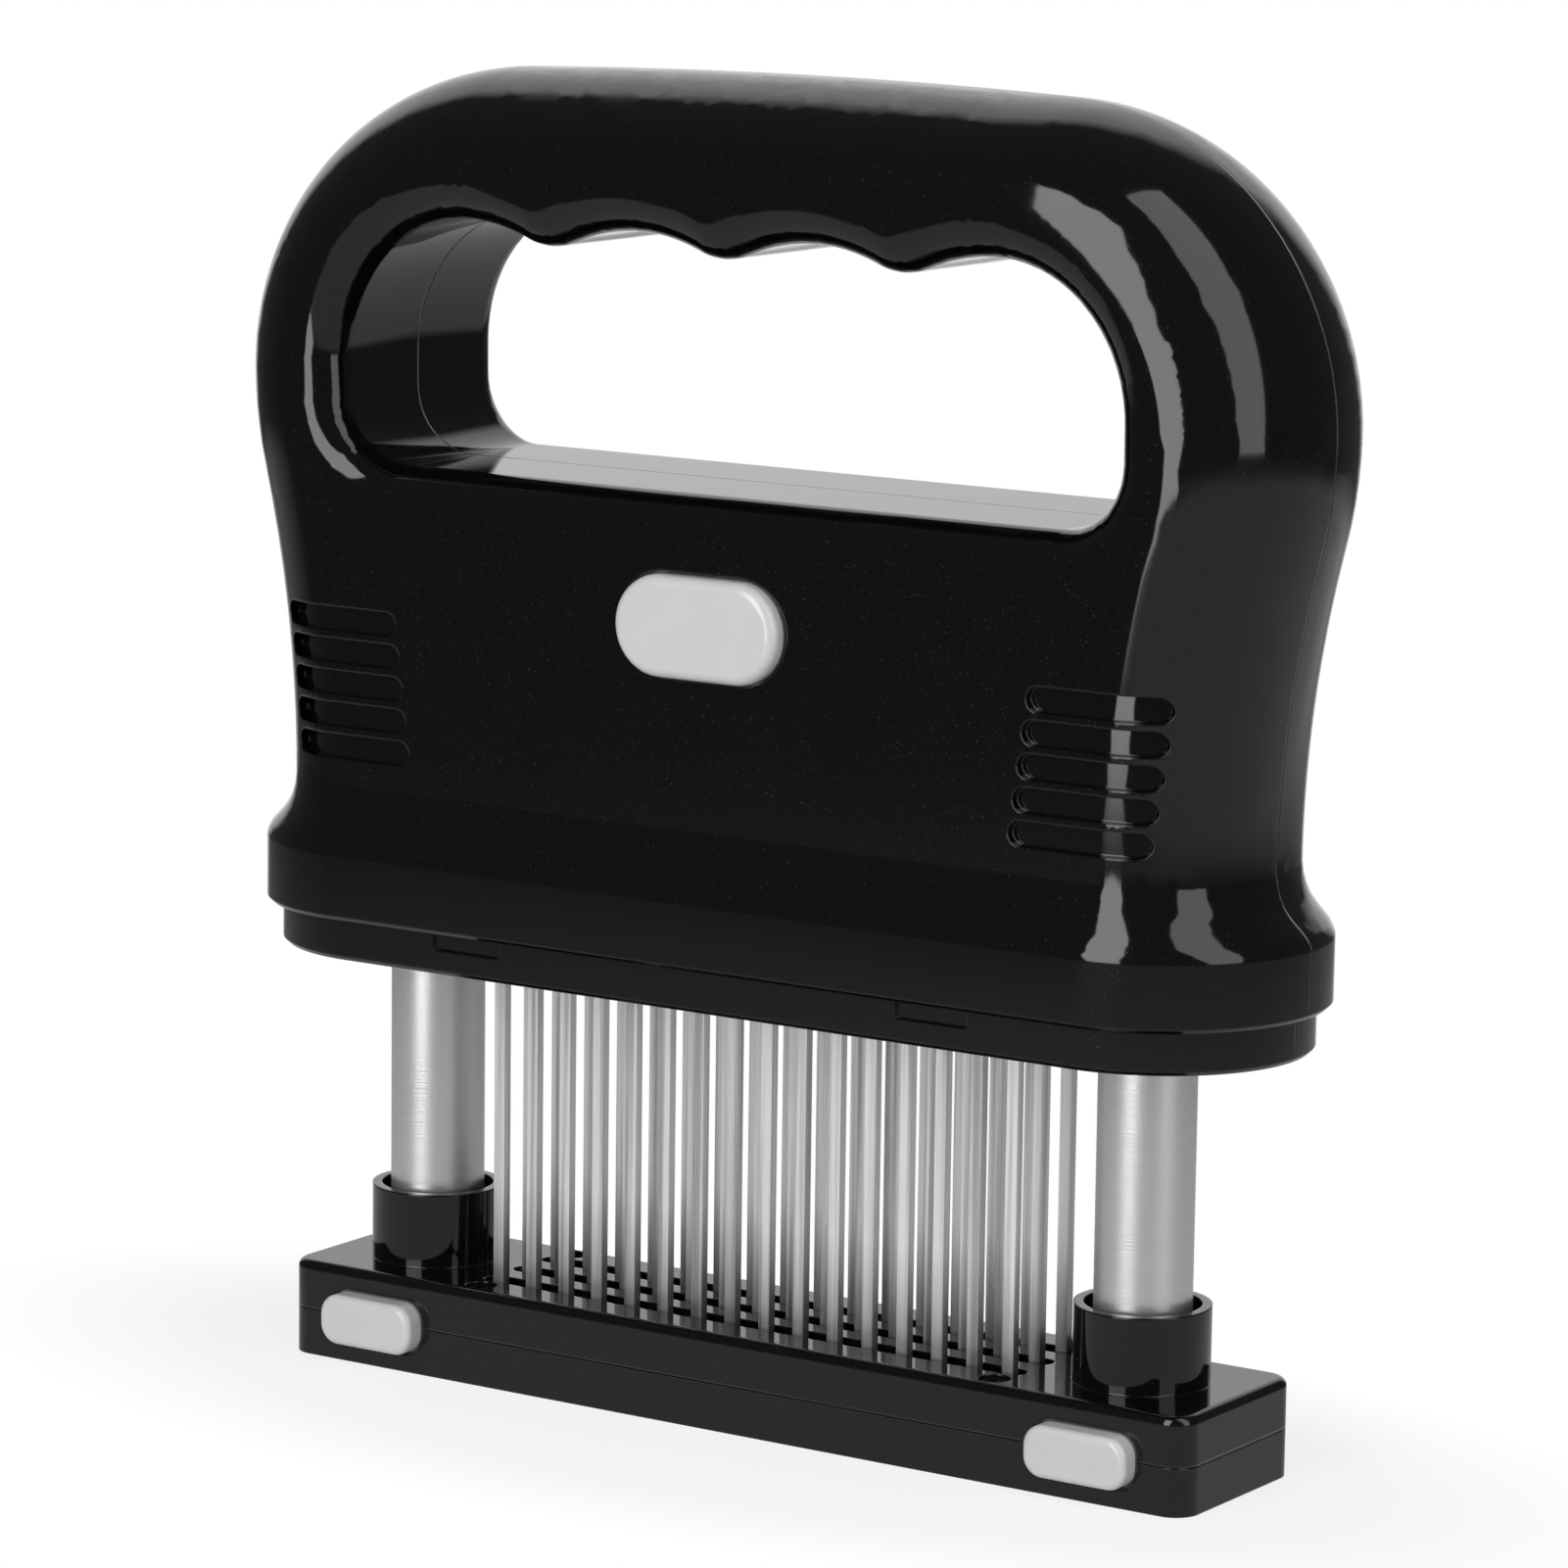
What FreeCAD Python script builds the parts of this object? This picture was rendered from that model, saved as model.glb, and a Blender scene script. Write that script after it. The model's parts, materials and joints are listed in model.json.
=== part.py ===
import FreeCAD, Part
import os
import math
from FreeCAD import Vector

# Blade meat tenderizer: a moulded handle housing slides down two sprung steel posts and
# drives three rows of narrow blades through a slotted guard base.
# Frame: +Z up, X along the base, the front with the release button faces -Y.
# Origin: the middle of the base underside. Lengths in millimetres.

DOC = FreeCAD.newDocument("MeatTenderizer")
SHEET = DOC.addObject("Spreadsheet::Sheet", "Sizes")
SIZES = [
    # guard base
    ("base_end", 12.95, "base beyond a post axis"),
    ("base_length", "=2 * (post_x + base_end)", "base along X"),
    ("base_depth", 24.4, "base along Y"),
    ("base_height", 11.3, "base slab, without its collars"),
    ("seam_height", 5.6, "joint between the lower and upper moulding"),
    ("base_corner", 3.0, "upright corner rounding of the base"),
    ("base_edge", 1.0, "rounding of the top edge of the base"),
    ("collar_radius", 7.75, "outside of a post collar"),
    ("collar_height", 8.9, "collar above the slab"),
    ("collar_rim_radius", 6.65, "widened mouth of the collar"),
    ("collar_rim_depth", 1.6, "depth of the widened mouth"),
    ("base_screw_x", 35.5, "screws of the base from the middle"),
    ("base_screw_y", 9.4, "screws of the base from the middle"),
    ("base_screw_head", 1.7, "radius of the screw head"),
    ("base_screw_shank", 0.9, "radius of the screw shank"),
    ("base_screw_head_height", 0.9, "thickness of the screw head"),
    ("base_screw_end_z", 2.4, "lower end of the screw"),
    ("screw_recess", 1.2, "depth of the head below the slab top"),
    # posts
    ("post_inset", 21.7, "post axis inside the widest point of the handle"),
    ("post_x", "=bulge_half - post_inset", "post axis from the middle"),
    ("tube_radius", 5.55, "outside of a steel post tube"),
    ("tube_wall", 0.8, "wall of a post tube"),
    ("tube_seat_z", 9.4, "lower end of the tube in the collar"),
    ("tube_top_z", 63.6, "upper end of the tube at rest"),
    ("foot_radius", 4.6, "shank of the post foot below the tube"),
    ("foot_groove_radius", 3.0, "neck that the latch plate grips"),
    ("foot_end_z", 1.8, "lower end of the post foot"),
    ("foot_plug_top_z", 17.0, "upper end of the plug inside the tube"),
    ("stop_ring_height", 1.6, "ring clipped on top of the tube"),
    ("stop_ring_radius", 6.9, "outside of that ring"),
    ("spring_reach", 6.0, "upper end of a post spring below the tube end"),
    ("spring_rod_radius", 2.2, "rod that pushes a post spring"),
    ("spring_rod_flange", 6.5, "radius of the rod's flange"),
    ("spring_rod_plate", 2.0, "thickness of the rod's cap and flange"),
    ("bush_wall", 1.9, "wall of a guide bush"),
    ("bush_flange", 1.5, "how far its flange is wider"),
    ("bush_flange_height", 1.4, "thickness of that flange"),
    # base buttons and their latch plates
    ("base_button_width", 13.2, "button along X"),
    ("base_button_height", 6.0, "button along Z"),
    ("base_button_z", 5.4, "middle height of the button"),
    ("base_button_round", 2.4, "corner rounding of the button"),
    ("base_button_proud", 2.4, "how far the button stands out"),
    ("button_flange", 1.0, "thickness of the flange behind the wall"),
    ("button_flange_lip", 0.7, "how far the flange is wider than the button"),
    ("base_button_edge", 0.8, "rounded front edge of the button"),
    ("base_button_travel", 2.0, "push of a base button"),
    ("base_wall", 1.6, "front and rear wall of the base"),
    ("latch_thickness", 1.2, "steel latch plate"),
    ("latch_width", 12.0, "latch plate along X"),
    ("latch_grip_radius", 3.25, "keyhole end that grips the neck"),
    ("latch_pass_radius", 4.9, "keyhole end that lets the foot pass"),
    ("latch_rear_web", 2.0, "plate behind the keyhole"),
    # blade pack
    ("blade_margin", 13.65, "outermost blade from the post axis"),
    ("blade_pitch", "=2 * (post_x - blade_margin) / (blades_per_row - 1)", "blades in a row"),
    ("row_pitch", 5.71, "row to row"),
    ("blade_width", 1.45, "blade along X"),
    ("blade_thickness", 1.2, "blade along Y"),
    ("blade_tip_z", 3.6, "blade points at rest"),
    ("blade_point", 4.2, "length of the ground point"),
    ("blade_head_z", 61.0, "upper end of the blades"),
    ("blades_per_row", 16, "blades in each row"),
    ("slot_width", 2.9, "long slot of one row in the base"),
    ("slot_end_play", 2.1, "slot beyond the outer blade's middle"),
    ("carrier_depth", 19.0, "plastic block that holds the blades, along Y"),
    ("carrier_foot_z", 53.0, "underside of the block"),
    ("carrier_top_z", 61.0, "top of the block, level with the blade heads"),
    ("carrier_side", 2.2, "block beyond the slots at each end"),
    ("carrier_corner", 2.0, "upright corner rounding of the block"),
    ("keeper_thickness", 1.5, "steel plate over the blade heads"),
    ("tongue_width", 16.0, "folded tongue of that plate along X"),
    ("tongue_thickness", 1.2, "tongue along Y"),
    ("tongue_rise", 6.0, "tongue above the lower end of the hook"),
    ("tongue_window_width", 10.0, "window that the hook catches, along X"),
    ("tongue_window_low", 1.2, "window below the lower end of the hook"),
    ("tongue_window_high", 3.2, "window above the lower end of the hook"),
    # cartridge skirt below the handle
    ("rim_reveal", 1.7, "the skirt sits this far inside the rim"),
    ("skirt_bottom_z", 49.7, "lowest face of the handle unit"),
    ("skirt_wall", 1.8, "skirt wall"),
    ("skirt_floor", 2.2, "skirt bottom plate"),
    ("skirt_spigot", 5.5, "part of the skirt that is inside the rim"),
    ("skirt_edge", 0.5, "bevel of the lower skirt edge"),
    ("blade_port_play", 0.6, "port in the skirt floor round the slots"),
    ("snap_width", 9.3, "snap window along X"),
    ("snap_height", 2.1, "snap window below the rim"),
    ("snap_x", 31.7, "snap windows from the middle"),
    ("snap_depth", 0.35, "depth of a snap window"),
    # handle housing
    ("rim_inset", 1.5, "the rim is this much narrower than the handle, per side"),
    ("rim_half_length", "=bulge_half - rim_inset", "rim along X, half"),
    ("rim_half_depth", 19.6, "rim along Y, half"),
    ("rim_bottom_z", 54.7, "lower edge of the rim"),
    ("rim_top_z", 62.3, "upper edge of the rim's upright band"),
    ("rim_end_less", 1.0, "the rim's ends fall this short of half circles"),
    ("rim_end", "=rim_half_depth - rim_end_less", "reach of the rim's half-ellipse ends"),
    ("rim_edge", 0.5, "bevel of the lower rim edge"),
    ("waist_z", 70.2, "narrowest height of the body"),
    ("waist_inset", 6.1, "the waist is this much narrower than the bulge, per side"),
    ("body_half_depth", 17.0, "body along Y, half"),
    ("bulge_half", 70.6, "widest half width of the handle"),
    ("shoulder_radius", 35.5, "round shoulders of the handle"),
    ("shoulder_run", 50.0, "outline radius below the shoulder"),
    ("crown", 0.7, "rise of the top between the shoulders"),
    ("handle_top_z", 153.9, "highest point"),
    ("body_round", 12.5, "the half-ellipse sides of the body reach in this far"),
    ("shell_wall", 2.4, "housing wall"),
    # finger opening
    ("grip_bar", 18.3, "side bar of the handle at its widest"),
    ("grip_half", "=bulge_half - grip_bar", "opening, half width"),
    ("grip_floor_z", 107.7, "opening floor"),
    ("grip_floor_corner", 8.0, "lower corners of the opening"),
    ("grip_top_z", 136.5, "top of the finger scallops"),
    ("finger_pitch", 23.6, "finger scallops"),
    ("finger_depth", 2.4, "depth of the scallops"),
    ("finger_ridge", 7.0, "radius of the ridges between fingers"),
    ("grip_lip", 4.5, "rounded lip of the opening"),
    # release button
    ("release_half_width", 10.95, "release button, half of its width"),
    ("release_half_height", 5.8, "release button, half of its height"),
    ("release_z", 93.2, "middle height of the release button"),
    ("release_proud", 1.9, "how far it stands out"),
    ("release_travel", 2.5, "push of the release button"),
    ("release_edge", 1.3, "rounded front edge of the button"),
    ("release_flange", 1.2, "flange behind the wall"),
    ("hook_width", 8.0, "latch hook along X"),
    ("hook_stem", 1.0, "thickness of the hook's stem"),
    ("hook_reach", 3.2, "hook along Y"),
    ("hook_height", 1.6, "height of the hook's nose"),
    ("release_latch_z", 66.4, "lower end of the latch hook"),
    # side grooves
    ("groove_count", 5, "grooves down each side"),
    ("groove_pitch", 3.72, "groove to groove"),
    ("groove_height", 2.9, "height of a groove"),
    ("groove_depth", 1.0, "depth of a groove"),
    ("groove_inner_x", 42.6, "inner end of the top groove"),
    ("groove_outer_x", 59.8, "outer end of the top groove"),
    ("groove_step", 0.5, "each groove sits this much further in"),
    ("groove_top_z", 89.6, "middle of the top groove"),
    # play
    ("slide_play", 0.3, "clearance of sliding plastic"),
    ("fit_play", 0.15, "clearance of pieces that are fitted once"),
    ("button_play", 0.35, "gap round a button"),
    ("press_travel", 27.0, "handle stroke"),
    # springs
    ("main_spring_radius", 3.6, "middle radius of a post spring"),
    ("main_spring_wire", 0.8, "wire of a post spring"),
    ("main_spring_turns", 11, "turns of a post spring"),
    ("small_spring_radius", 2.0, "middle radius of a button spring"),
    ("small_spring_wire", 0.4, "wire of a button spring"),
    ("small_spring_turns", 4, "turns of a button spring"),
    # screws of the housing
    ("shell_boss_radius", 3.2, "screw boss inside the housing"),
    ("boss_low_x", 30.0, "lower bosses from the middle"),
    ("boss_low_z", 76.0, "height of the lower bosses"),
    ("boss_high_x", 34.0, "upper bosses from the middle"),
    ("boss_high_z", 98.0, "height of the upper bosses"),
    ("shell_screw_head", 2.6, "radius of a housing screw head"),
    ("shell_screw_shank", 1.2, "radius of a housing screw shank"),
    ("shell_screw_head_height", 1.8, "thickness of a housing screw head"),
    ("shell_screw_reach", 7.0, "screw end in front of the seam"),
    ("shell_screw_depth", 7.0, "head seat below the rear face"),
]
for row, (alias, value, note) in enumerate(SIZES, start=1):
    SHEET.set("A%d" % row, note)
    SHEET.setAlias("B%d" % row, alias)
for row, (alias, value, note) in enumerate(SIZES, start=1):
    SHEET.set("B%d" % row, str(value))
DOC.recompute()


class Size:
    """Reads a driving dimension from the sheet by its name."""

    def __getattr__(self, alias):
        return float(SHEET.get(alias))


size = Size()
NODES = []


def bind(item, **properties):
    """Binds properties of an object to sheet expressions; x, y, z are its place."""
    places = {"x": ".Placement.Base.x", "y": ".Placement.Base.y", "z": ".Placement.Base.z"}
    for name, expression in properties.items():
        item.setExpression(places.get(name, name), str(expression))
    return item


def add_box(name, **properties):
    return bind(DOC.addObject("Part::Box", name), **properties)


def add_cylinder(name, **properties):
    return bind(DOC.addObject("Part::Cylinder", name), **properties)


def fuse(name, pieces):
    item = DOC.addObject("Part::MultiFuse", name)
    item.Shapes = pieces
    item.Refine = True
    return item


def group(name, pieces):
    item = DOC.addObject("Part::Compound", name)
    item.Links = pieces
    return item


def cut(name, base, tool):
    item = DOC.addObject("Part::Cut", name)
    item.Base = base
    item.Tool = tool
    item.Refine = True
    return item


def node(name, item):
    """Names a finished piece; the label is also the name of its file."""
    item.Label = name
    NODES.append(item)
    return item


def feature(name, shape):
    item = DOC.addObject("Part::Feature", name)
    item.Shape = shape
    item.Placement = shape.Placement
    return item


def rounded_plan(half_length, half_depth, corner, z):
    """A closed wire in the XY plane: a rectangle with round corners."""
    corner = min(corner, half_depth - 0.01)
    x_in = half_length - corner
    y_in = half_depth - corner
    bend = corner * math.sqrt(0.5)
    edges = []
    for sign_x, sign_y in ((1, -1), (1, 1), (-1, 1), (-1, -1)):
        along_y = Vector(sign_x * x_in, sign_y * half_depth, z)
        along_x = Vector(sign_x * half_length, sign_y * y_in, z)
        middle = Vector(sign_x * (x_in + bend), sign_y * (y_in + bend), z)
        first, last = (along_y, along_x) if sign_x * sign_y < 0 else (along_x, along_y)
        edges.append(Part.Arc(first, middle, last).toShape())
    ring = []
    for place, edge in enumerate(edges):
        following = edges[(place + 1) % 4]
        ring.append(edge)
        start = edge.Vertexes[-1].Point
        end = following.Vertexes[0].Point
        ring.append(Part.LineSegment(start, end).toShape())
    return Part.Wire(ring)


def plan_prism(half_length, half_depth, corner, low, high):
    wire = rounded_plan(half_length, half_depth, corner, low)
    return Part.Face(wire).extrude(Vector(0, 0, high - low))


def half_ellipse(middle, reach, half_depth):
    """From the rear, round the outer side and to the front; reach is along X, signed."""
    rear = middle + Vector(0, half_depth, 0)
    outer = middle + Vector(reach, 0, 0)
    return Part.ArcOfEllipse(Part.Ellipse(rear, outer, middle), 0, math.pi).toShape()


def oval_plan(half_length, half_depth, end, z):
    """A closed wire in the XY plane: straight long sides and half-ellipse ends."""
    inner = half_length - end
    front = Part.LineSegment(Vector(-inner, -half_depth, z), Vector(inner, -half_depth, z))
    rear = Part.LineSegment(Vector(inner, half_depth, z), Vector(-inner, half_depth, z))
    return Part.Wire([front.toShape(), half_ellipse(Vector(inner, 0, z), end, half_depth),
                      rear.toShape(), half_ellipse(Vector(-inner, 0, z), -end, half_depth)])


def oval_prism(half_length, half_depth, end, low, high):
    wire = oval_plan(half_length, half_depth, end, low)
    return Part.Face(wire).extrude(Vector(0, 0, high - low))


def stadium_prism(half_width, half_height, middle, front, depth):
    """A bar with round ends: middle gives X and Z, it runs from front along +Y."""
    x, z = middle
    run = half_width - half_height
    corners = [Vector(x - run, front, z - half_height), Vector(x + run, front, z - half_height),
               Vector(x + run, front, z + half_height), Vector(x - run, front, z + half_height)]
    right = Vector(x + half_width, front, z)
    left = Vector(x - half_width, front, z)
    wire = Part.Wire([
        Part.LineSegment(corners[0], corners[1]).toShape(),
        Part.Arc(corners[1], right, corners[2]).toShape(),
        Part.LineSegment(corners[2], corners[3]).toShape(),
        Part.Arc(corners[3], left, corners[0]).toShape(),
    ])
    return Part.Face(wire).extrude(Vector(0, depth, 0))


def upright_cylinder(radius, x, y, low, high):
    return Part.makeCylinder(radius, high - low, Vector(x, y, low))


def cross_cylinder(radius, x, z, front, back):
    return Part.makeCylinder(radius, back - front, Vector(x, front, z), Vector(0, 1, 0))


def block(x_low, x_high, y_low, y_high, z_low, z_high):
    return Part.makeBox(x_high - x_low, y_high - y_low, z_high - z_low, Vector(x_low, y_low, z_low))


# Guard base: two mouldings that meet at the seam. The upper one carries the collars.
slot_half = "(Sizes.blades_per_row - 1) / 2 * Sizes.blade_pitch + Sizes.slot_end_play"
over = "Sizes.base_height + Sizes.collar_height"


def base_slots():
    """Three long slots with round ends, one for each row of blades."""
    pieces = []
    for label, row in (("front", -1), ("middle", 0), ("rear", 1)):
        y_row = "%d * Sizes.row_pitch" % row
        run = "(%s - Sizes.slot_width / 2)" % slot_half
        pieces.append(add_box("slot_" + label, Length="2 * " + run, Width="Sizes.slot_width",
                              Height="2 * Sizes.base_height", x="-" + run,
                              y=y_row + " - Sizes.slot_width / 2", z="-Sizes.base_height / 2"))
        for end, sign in (("left", "-"), ("right", "")):
            pieces.append(add_cylinder("slot_%s_%s" % (label, end), Radius="Sizes.slot_width / 2",
                                       Height="2 * Sizes.base_height", x=sign + run, y=y_row,
                                       z="-Sizes.base_height / 2"))
    return pieces


def base_post_pockets():
    """Under each collar: the tube seat, the foot bore, the latch pocket and the button window."""
    pieces = []
    for side, sign in (("left", "-"), ("right", "")):
        x_post = sign + "Sizes.post_x"
        pieces.append(add_cylinder("tube_seat_" + side, Radius="Sizes.tube_radius + Sizes.fit_play",
                                   Height=over, x=x_post, z="Sizes.tube_seat_z"))
        pieces.append(add_cylinder("collar_mouth_" + side, Radius="Sizes.collar_rim_radius",
                                   Height="Sizes.collar_rim_depth + 1", x=x_post,
                                   z=over + " - Sizes.collar_rim_depth"))
        pieces.append(add_cylinder("foot_bore_" + side, Radius="Sizes.foot_radius + Sizes.slide_play",
                                   Height="Sizes.base_height", x=x_post,
                                   z="Sizes.foot_end_z - Sizes.slide_play"))
        half = "(Sizes.latch_width / 2 + Sizes.slide_play)"
        inside = "(Sizes.base_depth / 2 - Sizes.base_wall)"
        pieces.append(add_box("latch_pocket_" + side, Length="2 * " + half, Width="2 * " + inside,
                              Height="Sizes.latch_thickness + 2 * Sizes.slide_play",
                              x=x_post + " - " + half, y="-" + inside,
                              z="Sizes.base_button_z - Sizes.latch_thickness / 2 - Sizes.slide_play"))
        wide = "(Sizes.base_button_width / 2 + Sizes.button_flange_lip + Sizes.slide_play)"
        tall = "(Sizes.base_button_height / 2 + Sizes.button_flange_lip + Sizes.slide_play)"
        room = "(Sizes.button_flange + Sizes.base_button_travel + 2 * Sizes.slide_play)"
        pieces.append(add_box("flange_pocket_" + side, Length="2 * " + wide, Width=room,
                              Height="2 * " + tall, x=x_post + " - " + wide, y="-" + inside,
                              z="Sizes.base_button_z - " + tall))
        coil = "(Sizes.small_spring_radius + Sizes.small_spring_wire)"
        pieces.append(add_box("spring_pocket_" + side, Length="2 * " + coil,
                              Width=inside + " - Sizes.latch_grip_radius", Height="2 * " + coil,
                              x=x_post + " - " + coil, y="Sizes.latch_grip_radius",
                              z="Sizes.base_button_z - " + coil))
    return pieces


def button_windows():
    pieces = []
    for side, sign in (("left", -1), ("right", 1)):
        outline = rounded_bar(size.base_button_width / 2 + size.button_play,
                              size.base_button_height / 2 + size.button_play,
                              size.base_button_round + size.button_play,
                              (sign * size.post_x, size.base_button_z),
                              -size.base_depth / 2 - 1, size.base_wall + 1.5)
        pieces.append(feature("button_window_" + side, outline))
    return pieces


def rounded_bar(half_width, half_height, corner, middle, front, depth):
    """A bar along +Y with a round-cornered outline in XZ."""
    shape = plan_prism(half_width, half_height, corner, 0, depth)
    shape.rotate(Vector(0, 0, 0), Vector(1, 0, 0), 90)
    shape.translate(Vector(middle[0], front + depth, middle[1]))
    return shape


head_seat = "Sizes.base_height - Sizes.screw_recess - Sizes.base_screw_head_height"


def base_screw_holes():
    pieces = []
    for side, sign_x in (("left", "-"), ("right", "")):
        for end, sign_y in (("front", "-"), ("rear", "")):
            name = "%s_%s" % (side, end)
            place = {"x": sign_x + "Sizes.base_screw_x", "y": sign_y + "Sizes.base_screw_y"}
            pieces.append(add_cylinder("head_hole_" + name,
                                       Radius="Sizes.base_screw_head + Sizes.fit_play",
                                       Height="2 * Sizes.base_height",
                                       z=head_seat, **place))
            pieces.append(add_cylinder("shank_hole_" + name,
                                       Radius="Sizes.base_screw_shank",
                                       Height=head_seat + " - Sizes.base_screw_end_z + 0.4",
                                       z="Sizes.base_screw_end_z - 0.4", **place))
    return pieces


base_voids = fuse("base_voids", base_slots() + base_post_pockets() + button_windows()
                  + base_screw_holes())


def base_slab(name, height, z):
    slab = add_box(name, Length="Sizes.base_length", Width="Sizes.base_depth", Height=height,
                   x="-Sizes.base_length / 2", y="-Sizes.base_depth / 2", z=z)
    DOC.recompute()
    return slab


def edge_numbers(shape, wanted):
    return [place for place, edge in enumerate(shape.Edges, start=1) if wanted(edge)]


def is_upright(edge):
    low, high = edge.BoundBox.ZMin, edge.BoundBox.ZMax
    return edge.BoundBox.XLength < 1e-6 and edge.BoundBox.YLength < 1e-6 and high - low > 1e-6


def round_edges(name, base, wanted, radius):
    item = DOC.addObject("Part::Fillet", name)
    item.Base = base
    item.Edges = [(number, radius, radius) for number in edge_numbers(base.Shape, wanted)]
    DOC.recompute()
    return item


lower_slab = round_edges("lower_slab_round", base_slab("lower_slab", "Sizes.seam_height", "0"),
                         is_upright, size.base_corner)
node("base_bottom", cut("base_bottom", lower_slab, base_voids))

upper_slab = round_edges("upper_slab_round",
                         base_slab("upper_slab", "Sizes.base_height - Sizes.seam_height",
                                   "Sizes.seam_height"),
                         is_upright, size.base_corner)
upper_slab = round_edges("upper_slab_edge", upper_slab,
                         lambda edge: edge.BoundBox.ZMin > size.base_height - 1e-4,
                         size.base_edge)
collars = []
for side_name, sign_text in (("left", "-"), ("right", "")):
    collars.append(add_cylinder("collar_" + side_name, Radius="Sizes.collar_radius",
                                Height=over + " - Sizes.seam_height",
                                x=sign_text + "Sizes.post_x", z="Sizes.seam_height"))
upper_body = fuse("upper_body", [upper_slab] + collars)
node("base_top", cut("base_top", upper_body, base_voids))

# Four screws hold the two base mouldings together.
base_screws = []
for side_name, sign_x in (("left", "-"), ("right", "")):
    for end_name, sign_y in (("front", "-"), ("rear", "")):
        label = "base_screw_%s_%s" % (side_name, end_name)
        spot = {"x": sign_x + "Sizes.base_screw_x", "y": sign_y + "Sizes.base_screw_y"}
        head = add_cylinder(label + "_head", Radius="Sizes.base_screw_head",
                            Height="Sizes.base_screw_head_height", z=head_seat, **spot)
        shank = add_cylinder(label + "_shank", Radius="Sizes.base_screw_shank - 0.02",
                             Height=head_seat + " - Sizes.base_screw_end_z",
                             z="Sizes.base_screw_end_z", **spot)
        base_screws.append(fuse(label, [head, shank]))
node("base_screws", group("base_screws", base_screws))

# Posts: brushed steel tubes on grooved feet, each with a stop ring and a spring inside.
for side_name, sign_text in (("left", "-"), ("right", "")):
    x_post = sign_text + "Sizes.post_x"
    outer = add_cylinder("tube_outer_" + side_name, Radius="Sizes.tube_radius",
                         Height="Sizes.tube_top_z - Sizes.tube_seat_z", x=x_post,
                         z="Sizes.tube_seat_z")
    bore = add_cylinder("tube_bore_" + side_name, Radius="Sizes.tube_radius - Sizes.tube_wall",
                        Height="Sizes.tube_top_z", x=x_post, z="Sizes.tube_seat_z - 1")
    node("post_tube_" + side_name, cut("post_tube_" + side_name, outer, bore))

    shank = add_cylinder("foot_shank_" + side_name, Radius="Sizes.foot_radius",
                         Height="Sizes.foot_plug_top_z - Sizes.foot_end_z", x=x_post,
                         z="Sizes.foot_end_z")
    ring = add_cylinder("foot_groove_" + side_name, Radius="Sizes.foot_radius + 1",
                        Height="Sizes.latch_thickness + 2 * Sizes.slide_play", x=x_post,
                        z="Sizes.base_button_z - Sizes.latch_thickness / 2 - Sizes.slide_play")
    neck = add_cylinder("foot_neck_" + side_name, Radius="Sizes.foot_groove_radius",
                        Height="Sizes.base_height", x=x_post, z="0")
    groove = cut("foot_groove_ring_" + side_name, ring, neck)
    node("post_foot_" + side_name, cut("post_foot_" + side_name, shank, groove))

    rim = add_cylinder("stop_outer_" + side_name, Radius="Sizes.stop_ring_radius",
                       Height="Sizes.stop_ring_height", x=x_post,
                       z="Sizes.tube_top_z - Sizes.stop_ring_height")
    hole = add_cylinder("stop_hole_" + side_name, Radius="Sizes.tube_radius + 0.01",
                        Height="Sizes.stop_ring_height + 2", x=x_post,
                        z="Sizes.tube_top_z - Sizes.stop_ring_height - 1")
    node("post_stop_" + side_name, cut("post_stop_" + side_name, rim, hole))


def coil(radius, wire, turns, length):
    """A square-wire coil along +Z from the origin, with straight chords between its corners."""
    corners_per_turn = 8
    steps = int(turns * corners_per_turn)
    rise = (length - wire) / steps
    points = []
    for step in range(steps + 1):
        angle = 2 * math.pi * step / corners_per_turn
        points.append(Vector(radius * math.cos(angle), radius * math.sin(angle),
                             wire / 2 + rise * step))
    path = Part.makePolygon(points)
    half = wire / 2
    square = Part.makePolygon([
        Vector(radius - half, 0, 0), Vector(radius + half, 0, 0),
        Vector(radius + half, 0, wire), Vector(radius - half, 0, wire),
        Vector(radius - half, 0, 0)])
    return path.makePipeShell([square], True, False, 1)


spring_foot = size.foot_plug_top_z
spring_head = size.tube_top_z - size.spring_reach
for side_name, sign in (("left", -1), ("right", 1)):
    turns_shape = coil(size.main_spring_radius, size.main_spring_wire, size.main_spring_turns,
                       spring_head - spring_foot)
    turns_shape.translate(Vector(sign * size.post_x, 0, spring_foot))
    node("main_spring_" + side_name, feature("main_spring_" + side_name, turns_shape))


# Base buttons: a moulded cap with a flange behind the wall, on a steel keyhole plate.
def base_button(sign):
    wall_inside = -size.base_depth / 2 + size.base_wall
    face = -size.base_depth / 2 - size.base_button_proud
    middle = (sign * size.post_x, size.base_button_z)
    cap = rounded_bar(size.base_button_width / 2, size.base_button_height / 2,
                      size.base_button_round, middle, face, wall_inside - face + 0.3)
    front_edges = [edge for edge in cap.Edges if edge.BoundBox.YMax < face + 1e-4]
    cap = cap.makeFillet(size.base_button_edge, front_edges)
    lip = size.button_flange_lip
    flange = rounded_bar(size.base_button_width / 2 + lip, size.base_button_height / 2 + lip,
                         size.base_button_round + lip, middle, wall_inside + 0.1,
                         size.button_flange)
    return cap.fuse(flange).removeSplitter()


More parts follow.
